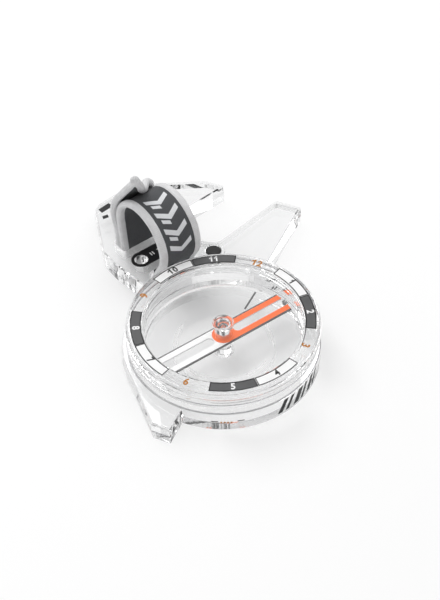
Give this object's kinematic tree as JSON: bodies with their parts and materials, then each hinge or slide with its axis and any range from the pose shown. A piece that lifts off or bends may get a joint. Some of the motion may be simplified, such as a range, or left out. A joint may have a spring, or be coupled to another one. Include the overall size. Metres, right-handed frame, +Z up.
{
  "type": "thumb compass",
  "caption": "Clear thumb compass: notched base plate, liquid capsule with two-bar needle, turning hour ring and an elastic thumb strap.",
  "frame": {"origin": "on the needle's axis, level with the flat underside that rests on the map", "axes": "+Z up out of the dial, +Y towards 12 on the hour ring (direction of travel, along the straight edge), +X towards 3"},
  "size_m": [0.0743, 0.082, 0.0343],
  "materials": {
    "clear_acrylic": "clear polished acrylic, crisp moulded edges",
    "clear_capsule": "clear polished moulding",
    "clear_window": "optically clear, polished",
    "clear_ring": "clear polished moulding with rounded rim",
    "clear_nylon": "natural nylon",
    "white_foil": "white printed foil with thin dark outline",
    "grey_foil": "dark grey printed foil",
    "needle_paint": "orange north half, white south half, dark steel edges",
    "polished_steel": "hardened and polished pin",
    "dark_line": "printed line",
    "black_label": "black inlay with small white marks",
    "black_rubber": "matt rubber",
    "grey_plug": "moulded plug",
    "strap_webbing": "dark grey knitted elastic with light grey edges"
  },
  "bodies": {
    "base": {"base_plate": "clear_acrylic", "scale_label": "black_label", "grip_stud": "black_rubber", "capsule_body": "clear_capsule", "filler_plug": "grey_plug", "capsule_lens": "clear_window", "travel_line": "dark_line", "pivot_post": "clear_capsule", "pivot_pin": "polished_steel", "ring_snap_ring": "clear_nylon", "strap_loop": "strap_webbing", "strap_tail": "strap_webbing"},
    "needle": {"needle_blade": "needle_paint", "jewel_cap": "clear_window", "bearing_cup": "polished_steel"},
    "hour_ring": {"hour_ring": "clear_ring", "hour_segment_01": "white_foil", "hour_segment_02": "grey_foil", "hour_segment_04": "white_foil", "hour_segment_05": "grey_foil", "hour_segment_07": "white_foil", "hour_segment_08": "grey_foil", "hour_segment_10": "white_foil", "hour_segment_11": "grey_foil"}
  },
  "joints": [
    {"name": "needle_spin", "type": "hinge", "parent": "base", "child": "needle", "pos_m": [0, 0, 0.0072], "axis": [0, 0, 1], "continuous": true},
    {"name": "hour_ring_spin", "type": "hinge", "parent": "base", "child": "hour_ring", "pos_m": [0, 0, 0.0102], "axis": [0, 0, 1], "continuous": true}
  ]
}
